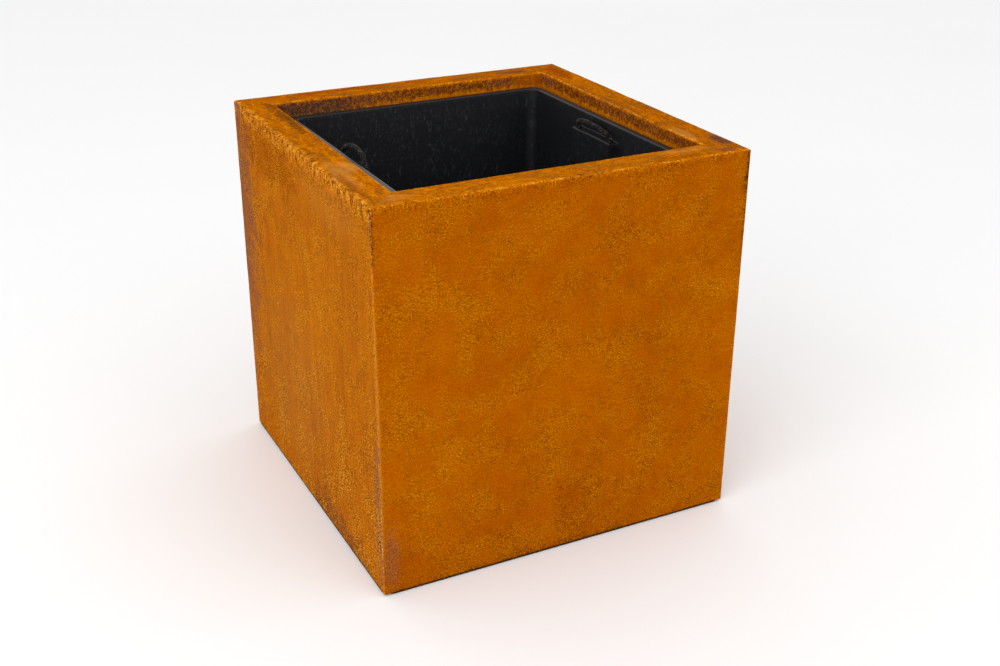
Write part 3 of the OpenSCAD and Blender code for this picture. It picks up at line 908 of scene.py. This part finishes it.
def bore_for_bolts(piece, lo, hi, thickness):
    """Cuts a hole for each bolt that stands within a box."""
    spots = [(x, y) for x, y in bolt_places() if lo.x < x < hi.x and lo.y < y < hi.y]
    cut_away(piece, [bore(spot, BOLT_HOLE_R, hi.z, thickness) for spot in spots])


def rail_piece(name, node, material):
    """A folded channel, web up, with its bends rounded and its bolt holes cut."""
    lo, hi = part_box(node)
    middle_y = (lo.y + hi.y) / 2
    width, depth = hi.y - lo.y, hi.z - lo.z
    corners = [(-width / 2, -depth), (-width / 2, 0.0), (width / 2, 0.0), (width / 2, -depth)]
    section = rounded_path(corners, [RAIL_BEND_R, RAIL_BEND_R], 0.004, 6)
    tangents = np.gradient(section, axis=0)
    tangents /= np.linalg.norm(tangents, axis=1)[:, None]
    normals = np.column_stack([-tangents[:, 1], tangents[:, 0]])
    half = np.full(len(section), RAIL_T / 2)
    half[[0, -1]] -= SHEET_CHAMFER
    stations = graded(lo.x, hi.x, 0.0005, 0.02, 0.0005)
    sides = [
        np.array([(x, y + middle_y, z + hi.z) for y, z in skin for x in stations])
        for skin in both_skins(section - normals * RAIL_T / 2, normals, half)
    ]
    solid = np.ones((len(section) - 1, len(stations) - 1), bool)
    rail = mesh_object(name, *sheet_solid(sides, solid), material)
    bore_for_bolts(rail, lo, hi, RAIL_T)
    return rail


def cleat_piece(name, node, material):
    """A rolled angle with a rounded root and toes, bored for its bolt."""
    lo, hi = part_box(node)
    side = -1.0 if lo.x < 0 else 1.0
    wall = lo.x if side < 0 else hi.x
    leg, drop = hi.x - lo.x, hi.z - lo.z
    corners = [
        (0.0, -drop), (0.0, 0.0), (leg, 0.0), (leg, -CLEAT_T),
        (CLEAT_T, -CLEAT_T), (CLEAT_T, -drop), (0.0, -drop),
    ]
    radii = [CLEAT_HEEL_R, CLEAT_HEEL_R, CLEAT_TOE_R, CLEAT_ROOT_R, CLEAT_TOE_R]
    section = rounded_path(corners, radii, 0.005, 5)[:-1]
    middle = np.array([leg / 2, -drop / 2])
    rings = []
    for y, inset in (
        (lo.y, END_BREAK), (lo.y + END_BREAK, 0.0), (hi.y - END_BREAK, 0.0), (hi.y, END_BREAK),
    ):
        pulled = section - np.sign(section - middle) * inset * (np.abs(section - middle) > 0.008)
        x, z = wall - side * pulled[:, 0], hi.z + pulled[:, 1]
        rings.append(np.column_stack([x, np.full(len(section), y), z]))
    cleat = mesh_object(name, *loft(rings), material)
    bore_for_bolts(cleat, lo, hi, CLEAT_T)
    return cleat


def tube(rings):
    """Points and faces of a ring of sections that closes on itself."""
    points, faces = loft(rings + rings[:1], closed_ends=False)
    count = len(points) - len(rings[0])
    return points[:count], [tuple(i % count for i in face) for face in faces]


def hex_block(centre, z0, z1, bore=0.0):
    """A hexagon with its top corners turned off; with a bore it is a nut, turned off below as well."""
    angles = np.arange(HEX_STEPS) * 2 * math.pi / HEX_STEPS
    sixth = math.pi / 3
    hexagon = HEX_AF / 2 / np.cos((angles + sixth / 2) % sixth - sixth / 2)
    flat = HEX_AF / 2 * HEX_FLAT
    fall = np.maximum(0.0, hexagon - flat) * HEX_CHAMFER

    def ring(radius, z):
        return circle(centre, radius, z, HEX_STEPS)

    sides = [ring(hexagon, z0 + (fall if bore else 0.0)), ring(hexagon, z1 - fall), ring(flat, z1)]
    if not bore:
        return loft(sides)
    mouth = bore + NUT_MOUTH
    hole = [ring(mouth, z1), ring(bore, z1 - NUT_MOUTH), ring(bore, z0 + NUT_MOUTH), ring(mouth, z0)]
    return tube([ring(flat, z0)] + sides + hole)


def threaded_shank(centre, z0, z1, sides=24):
    """A bolt's shank with its thread as a running ridge and a chamfered end."""
    turn = np.arange(sides) / sides
    rows = round((z1 - z0) / (THREAD_PITCH / 6))
    rings = []
    for z in np.linspace(z0, z1, rows + 1):
        crest = 1 - np.abs(2 * ((z / THREAD_PITCH - turn) % 1.0) - 1)
        depth = THREAD_DEPTH * (1 - np.minimum(1.0, crest * 1.25))
        end_taper = max(0.0, END_CHAMFER - (z - z0)) * 0.9
        rings.append(circle(centre, BOLT_R - depth - end_taper, z, sides))
    return loft(rings)


def washer(centre, z0, z1, sides=48):
    """A flat washer with its edges broken on top."""
    outline = (
        (BOLT_HOLE_R, z0), (WASHER_R, z0), (WASHER_R, z1 - WASHER_BREAK), (WASHER_R - WASHER_BREAK, z1),
        (BOLT_HOLE_R + BORE_BREAK, z1), (BOLT_HOLE_R, z1 - BORE_BREAK),
    )
    return tube([circle(centre, radius, z, sides) for radius, z in outline])


def build_support():
    """The rails that the liner stands on, their cleats and their fasteners."""
    zinc = galvanised_steel()
    bright = zinc_plated()
    iron = rusted_iron("rusted_bracket", 5.0, 0.0)
    for side in ("front", "back"):
        node = side + "_rail"
        place(rail_piece(side + "_channel", node, zinc), "shell", "galvanised_steel", node)
    for corner, _ in CORNERS:
        node = corner + "_cleat"
        place(cleat_piece(corner + "_angle", node, iron), "shell", "rusted_bracket", node)
    washer_lo, washer_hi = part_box("rail_washers")
    bolt_lo, bolt_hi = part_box("rail_bolts")
    nut_lo, nut_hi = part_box("rail_nuts")
    bolts, nuts, washers = [], [], []
    for spot in bolt_places():
        bolts.append(hex_block(spot, washer_hi.z, bolt_hi.z))
        bolts.append(threaded_shank(spot, bolt_lo.z, washer_hi.z))
        nuts.append(hex_block(spot, nut_lo.z, nut_hi.z, BOLT_R))
        washers.append(washer(spot, washer_lo.z, washer_hi.z))
    for kind, solids in (("bolt", bolts), ("nut", nuts), ("washer", washers)):
        piece = mesh_object(kind + "_set", *joined(solids), bright)
        place(piece, "shell", "zinc_plated", "rail_" + kind + "s")


# ---- Liner ----


def wall_half(z, outside):
    """Half width of the drafted wall at a height, on its inner or outer side."""
    return LINER_MOUTH_HALF - (LINER_TOP - z) * LINER_DRAFT + (LINER_T if outside else 0.0)


def pocket_rows(outside):
    """Stations down a pocket: (x, z) in the pocket and (half, z) on the plain wall beside it."""
    skin = LINER_T if outside else 0.0
    face = wall_half(POCKET_TOP, False) - POCKET_IN + skin
    ledge = POCKET_TOP - skin
    foot = POCKET_TOP - POCKET_H
    low = foot - POCKET_RUN_H
    start = ledge + 0.004
    corners = [
        (wall_half(start, outside), start), (wall_half(ledge, outside), ledge),
        (face, ledge), (face, foot), (wall_half(low, outside), low),
    ]
    bends = POCKET_OUTER_BENDS if outside else POCKET_INNER_BENDS
    path = rounded_path(corners, bends, 0.003, 5)
    run = run_lengths(path)
    ledge_end = run[np.argmax(path[:, 0] < face + 0.0005)]
    foot_at = run[np.argmax(path[:, 1] <= foot)]
    wall_z = np.interp(run, [0.0, ledge_end, foot_at, run[-1]], [start, ledge - 0.010, foot, low])
    return [(x, z, wall_half(wz, outside), wz) for (x, z), wz in zip(path, wall_z)]


def liner_rows():
    """Every station of the liner's section, from the middle of its floor over the rim to its underside.

    Each is (half, corner radius, height, pocket's half, pocket's height, spread of the columns, outside).
    """
    rows = []
    floor = LINER_BASE + LINER_T
    inner_foot = wall_half(floor, False)
    outer_foot = wall_half(LINER_BASE, True)
    pocket_in, pocket_out = pocket_rows(False), pocket_rows(True)
    rim_z = LINER_TOP - LINER_T

    def plain(points, radius_of, outside=False, spread_of=lambda half: 0.0):
        for half, z in points:
            rows.append((half, radius_of(half), z, half, z, spread_of(half), outside))

    def floor_spread(half):
        return min(1.0, max(0.0, (inner_foot - 0.008 - half) / 0.03))

    def floor_radius(half):
        return LINER_CORNER_R * min(1.0, half / 0.15)

    inside = [(0.004, floor), (inner_foot, floor), pocket_in[-1][2:]]
    up = rounded_path(inside, [LINER_FLOOR_R], 0.012, 5)
    plain(up[:-1], floor_radius, False, floor_spread)
    for x, z, half, wz in reversed(pocket_in):
        rows.append((half, LINER_CORNER_R, wz, x, z, 0.0, False))
    skirt_in = LINER_RIM_HALF - LINER_T
    skirt_z = LINER_TOP - LINER_SKIRT_H
    rim = [
        pocket_in[0][2:], (LINER_MOUTH_HALF, LINER_TOP), (LINER_RIM_HALF, LINER_TOP),
        (LINER_RIM_HALF, skirt_z), (skirt_in, skirt_z), (skirt_in, rim_z),
        (wall_half(rim_z, True), rim_z), pocket_out[0][2:],
    ]
    edges = [LINER_EDGE_R] * 2 + [LINER_SKIRT_R] * 2 + [LINER_EDGE_R] * 2
    over = rounded_path(rim, edges, 0.003, 4)
    corner_at = [LINER_MOUTH_HALF, LINER_MOUTH_HALF + 0.002, LINER_RIM_HALF]
    corner_r = [LINER_CORNER_R, LINER_CORNER_R + 0.002, LINER_CORNER_R + LINER_T]
    plain(over[1:-1], lambda half: float(np.interp(half, corner_at, corner_r)))
    for x, z, half, wz in pocket_out:
        rows.append((half, LINER_CORNER_R + LINER_T, wz, x, z, 0.0, True))
    underside = [pocket_out[-1][2:], (outer_foot, LINER_BASE), (0.004, LINER_BASE)]
    down = rounded_path(underside, [LINER_FLOOR_R + LINER_T], 0.012, 5)
    plain(down[1:], lambda half: floor_radius(half) * (1 + LINER_T / LINER_CORNER_R), True, floor_spread)
    return rows


def liner_side_stations(reference):
    """Places along a side wall: close together where a pocket ends."""
    ends = np.arange(POCKET_HALF - 0.0050, POCKET_HALF + 0.0011, 0.0005)
    middle = np.linspace(0.0, ends[0], 8)[1:-1]
    far = np.linspace(ends[-1], reference, 12)[1:]
    right = np.concatenate([middle, ends, far])
    return np.concatenate([-right[::-1], [0.0], right])


def liner_ring(row, stations, reference, corner_steps=8):
    """One ring of the liner round its four sides and corners."""
    half, radius, z, pocket_half, pocket_z, spread, outside = row
    straight = half - radius
    keep = POCKET_HALF + POCKET_END_R
    away = np.abs(stations)
    beyond = np.sign(stations) * (keep + (away - keep) * (straight - keep) / (reference - keep))
    fixed = np.where(away <= keep, stations, beyond)
    scaled = stations * straight / reference
    runs = fixed * (1 - spread) + scaled * spread if straight > keep else scaled
    skin = LINER_T if outside else 0.0
    weight = np.clip((POCKET_HALF - skin - away) / POCKET_END_R, 0, 1)
    weight = weight * weight * (3 - 2 * weight)
    turn = np.arange(1, corner_steps) * math.pi / 2 / corner_steps
    x, y = straight + radius * np.cos(turn), straight + radius * np.sin(turn)
    corner = np.column_stack([x, y, np.full(len(turn), z)])
    ring = []
    for side in range(4):
        dent = weight if side in (0, 2) else weight * 0.0
        wall = np.column_stack([half + (pocket_half - half) * dent, runs, z + (pocket_z - z) * dent])
        ring.append(quarter_turns(np.concatenate([wall, corner]), side))
    return np.concatenate(ring)


def warp(points):
    """The slight warp of a moulded wall."""
    warped = points.copy()
    for index, p in enumerate(points):
        depth = min(1.0, (LINER_TOP - p[2]) / WARP_DEPTH)
        if depth > 0:
            spot = Vector(p) * WARP_SCALE
            warped[index, 0] += LINER_WARP * depth * noise.noise(spot)
            warped[index, 1] += LINER_WARP * depth * noise.noise(spot + Vector((5.0, 0.0, 0.0)))
    return warped


def build_liner():
    """The whole tub in one skin, with its rope holes and drain holes cut."""
    reference = LINER_MOUTH_HALF - LINER_CORNER_R
    stations = liner_side_stations(reference)
    points, faces = loft([liner_ring(row, stations, reference) for row in liner_rows()])
    liner = mesh_object("liner_tub", from_liner(warp(points)), faces, black_plastic(), 40)
    floor = LINER_BASE + LINER_T
    holes = [bore((0.0, 0.0), DRAIN_R, floor, LINER_T)]
    for sx in (-1, 1):
        for sy in (-1, 1):
            holes.append(bore((sx * DRAIN_X, sy * DRAIN_Y), DRAIN_R, floor, LINER_T))
            eye = (sx * rope_line_x(), sy * ROPE_Y)
            holes.append(bore(eye, HOLE_R - HOLE_CLOSER, POCKET_TOP, LINER_T))
    cut_away(liner, [(from_liner(hole), hole_faces) for hole, hole_faces in holes], 40)
    place(liner, "liner", "black_plastic", "liner")


# ---- Rope handles ----

STRANDS_EACH_WAY = 8
LAY = 0.021
STRAND_SIDES = 6
CORE_SIDES = 8
STRAND_WIDE = 0.00105
STRAND_THICK = 0.00052
BRAID_R = 0.00268
BRAID_WAVE = 0.00030
ROW_STEP = 0.0011
CORE_R = 0.0024
CORE_INDEX = 99
ARCH_STEPS = 60
# The braid is drawn tighter below the ledge, in its knots, and narrows at the tips of its tails
SNUG_BELOW = 0.006
SNUG_RUN = 0.008
SNUG_SHARE = 0.16
TIP_SHARE = 0.45
TIP_L = 0.003
# Side, its sign, the arch's lean inwards in degrees and its height
HANDLES = (("left", -1, 14.0, 0.0245), ("right", 1, 30.0, 0.0140))


def rope_line_x():
    """Distance of the rope holes from the liner's middle, in its own frame."""
    return wall_half(POCKET_TOP, False) - POCKET_IN + LINER_T + HOLE_R


def arch_line(side, lean_deg, rise):
    """The rope's middle line over the ledge, from the front hole to the back one."""
    lean = math.radians(lean_deg)
    points = []
    for a in np.linspace(0, math.pi, ARCH_STEPS + 1):
        c, s = math.cos(a), math.sin(a)
        y = -ROPE_Y * math.copysign(abs(c) ** (2 / ARCH_POWER), c)
        v = rise * s ** (2 / ARCH_POWER)
        points.append((side * (rope_line_x() - v * math.sin(lean)), y, HINGE_Z + v * math.cos(lean)))
    return points


def knot_line(side, end):
    """The rope's middle line from the hole through its knot to the end of its tail."""
    x, y = rope_line_x(), ROPE_Y
    turn = [
        (0.0, 0.0, 0.0120), (0.0, -0.0002, 0.0070), (0.0012, -0.0012, 0.0030),
        (0.0062, -0.0046, 0.0012), (0.0098, -0.0012, 0.0022), (0.0086, 0.0012, 0.0034),
        (0.0036, 0.0016, 0.0040), (0.0002, 0.0006, 0.0016), (0.0008, -0.0048, -0.0012),
        (0.0056, -0.0068, -0.0036), (0.0100, -0.0030, -0.0034), (0.0078, 0.0012, -0.0030),
        (0.0032, 0.0014, -0.0052), (0.0008, 0.0004, -0.0100),
    ]
    line = [(side * x, end * y, POCKET_TOP), (side * x, end * y, POCKET_TOP - 0.008)]
    line += [(side * (x + dx), end * (y + dy), KNOT_Z + dz) for dx, dy, dz in turn]
    line.append((side * x, end * y, TAIL_END_Z))
    return line


def smooth_line(points, step):
    """Evenly spaced points on a Catmull-Rom curve through the points."""
    p = np.array(points, float)
    p = np.vstack([2 * p[0] - p[1], p, 2 * p[-1] - p[-2]])
    dense = []
    for i in range(1, len(p) - 2):
        for t in np.linspace(0, 1, 12, endpoint=False):
            a, b, c, d = p[i - 1:i + 3]
            squared = (2 * a - 5 * b + 4 * c - d) * t**2
            cubed = (3 * b - a - 3 * c + d) * t**3
            dense.append(0.5 * (2 * b + (c - a) * t + squared + cubed))
    dense.append(p[-2])
    dense = np.array(dense)
    length = run_lengths(dense)
    even = np.linspace(0, length[-1], round(length[-1] / step) + 1)
    return np.column_stack([np.interp(even, length, dense[:, k]) for k in range(3)]), even


def line_frames(line):
    """Two cross directions at each point of a line, turning as little as they can."""
    tangents = np.gradient(line, axis=0)
    tangents /= np.linalg.norm(tangents, axis=1)[:, None]
    across = np.cross(tangents[0], (0.3, 1.0, 0.2))
    across /= np.linalg.norm(across)
    firsts = [across]
    for tangent in tangents[1:]:
        across = firsts[-1] - tangent * (firsts[-1] @ tangent)
        firsts.append(across / np.linalg.norm(across))
    return np.array(firsts), np.cross(tangents, firsts)


def braid(line, run, snug):
    """Points, faces and strand places of a round braid on a line; snug scales its radius at each point."""
    first, second = line_frames(line)
    snug = snug[:, None]
    parts, places = [], []

    def cord(index, centre, wide, thick, sides):
        angles = np.arange(sides) * 2 * math.pi / sides
        c, s = np.cos(angles)[:, None], np.sin(angles)[:, None]
        parts.append(loft([middle + c * w + s * t for middle, w, t in zip(centre, wide, thick)]))
        places.extend((index, at, angle) for at in run for angle in angles)

    for way in (1, -1):
        wave = way * np.cos(2 * STRANDS_EACH_WAY * math.pi * run / LAY)
        reach = (BRAID_R + BRAID_WAVE * wave)[:, None] * snug
        for strand in range(STRANDS_EACH_WAY):
            a = 2 * math.pi * (way * run / LAY + strand / STRANDS_EACH_WAY)[:, None]
            out = np.cos(a) * first + np.sin(a) * second
            centre = line + out * reach
            wide = np.cross(np.gradient(centre, axis=0), out)
            wide /= np.linalg.norm(wide, axis=1)[:, None]
            index = strand + (0 if way > 0 else STRANDS_EACH_WAY)
            cord(index, centre, STRAND_WIDE * snug * wide, STRAND_THICK * snug * out, STRAND_SIDES)
    cord(CORE_INDEX, line, CORE_R * snug * first, CORE_R * snug * second, CORE_SIDES)
    points, faces = joined(parts)
    return points, faces, np.array(places)


def rope_piece(name, side, lean_deg, rise, material):
    """A whole handle: tail, knot, arch, knot and tail of one braided rope."""
    points = knot_line(side, -1)[::-1] + arch_line(side, lean_deg, rise) + knot_line(side, 1)
    line, run = smooth_line(points, ROW_STEP)
    below = np.clip((POCKET_TOP - LINER_T - SNUG_BELOW - line[:, 2]) / SNUG_RUN, 0, 1)
    ends = np.minimum(run, run[-1] - run)
    snug = (1 - SNUG_SHARE * below) * np.clip(TIP_SHARE + ends / TIP_L, 0, 1)
    braid_points, faces, places = braid(line, run, snug)
    rope = mesh_object(name, from_liner(braid_points), faces, material, 60)
    attribute = rope.data.attributes.new("strand_place", "FLOAT_VECTOR", "POINT")
    attribute.data.foreach_set("vector", places.astype(np.float32).ravel())
    return rope


def build_ropes():
    """Both handles, each bending where its arch leaves the ledge."""
    material = braided_rope()
    for side, sign, lean, rise in HANDLES:
        rope = rope_piece(side + "_rope_braid", sign, lean, rise, material)
        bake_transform(rope)
        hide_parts(side + "_rope_arch", side + "_rope_front_end", side + "_rope_back_end")


# ---- Camera, floor and light ----

CAMERA_PLACE = (-0.73335, -1.49955, 0.96863)
CAMERA_AZIMUTH = 27.105
CAMERA_DOWN = 24.682
CAMERA_ROLL = 0.329
CAMERA_LENS = 47.68
SENSOR_WIDTH = 36.0
FLOOR_HALF = 30.0
LIGHT_SIZE = 2.4
WORLD_STRENGTH = 0.93


def build_camera():
    """The photo's own view."""
    azimuth, down, roll = (math.radians(a) for a in (CAMERA_AZIMUTH, CAMERA_DOWN, CAMERA_ROLL))
    level_reach = math.cos(down)
    forward = Vector((math.sin(azimuth) * level_reach, math.cos(azimuth) * level_reach, -math.sin(down)))
    level = forward.cross(Vector((0, 0, 1))).normalized()
    lift = level.cross(forward)
    right = level * math.cos(roll) + lift * math.sin(roll)
    up = lift * math.cos(roll) - level * math.sin(roll)
    data = bpy.data.cameras.new("camera")
    data.lens = CAMERA_LENS
    data.sensor_width = SENSOR_WIDTH
    camera = bpy.data.objects.new("camera", data)
    facing = Matrix((right, up, -forward)).transposed().to_4x4()
    camera.matrix_world = Matrix.Translation(CAMERA_PLACE) @ facing
    bpy.context.scene.collection.objects.link(camera)
    bpy.context.scene.camera = camera


def area_light(name, spot, power):
    """A soft square light that looks at the middle of the planter."""
    data = bpy.data.lights.new(name, "AREA")
    data.shape = "SQUARE"
    data.size = LIGHT_SIZE
    data.energy = power
    light = bpy.data.objects.new(name, data)
    light.location = spot
    light.rotation_mode = "QUATERNION"
    light.rotation_quaternion = (Vector((0.0, 0.0, HEIGHT / 2)) - Vector(spot)).to_track_quat("-Z", "Y")
    bpy.context.scene.collection.objects.link(light)


def build_studio():
    """A pale floor under soft white light."""
    tree = Tree("floor")
    stops = [(0.3, (0.945, 0.945, 0.945)), (0.7, (0.955, 0.955, 0.955))]
    tree.finish(tree.ramp(tree.noise(tree.place, 1.5, 2.0, 0.5), stops), 0.9, Specular_IOR_Level=0.1)
    corners = [(x * FLOOR_HALF, y * FLOOR_HALF, 0) for x, y in ((-1, -1), (1, -1), (1, 1), (-1, 1))]
    mesh_object("floor", corners, [(0, 1, 2, 3)], tree.material)
    world = bpy.data.worlds.new("studio")
    world.use_nodes = True
    background = world.node_tree.nodes["Background"]
    background.inputs["Color"].default_value = (1.0, 1.0, 1.0, 1.0)
    background.inputs["Strength"].default_value = WORLD_STRENGTH
    bpy.context.scene.world = world
    area_light("key", (-2.6, -1.6, 2.2), 40.0)
    area_light("fill", (1.2, -3.0, 1.6), 12.0)
    bpy.context.scene.view_settings.view_transform = "Standard"


build_camera()
build_shell()
build_support()
build_liner()
build_ropes()
build_studio()
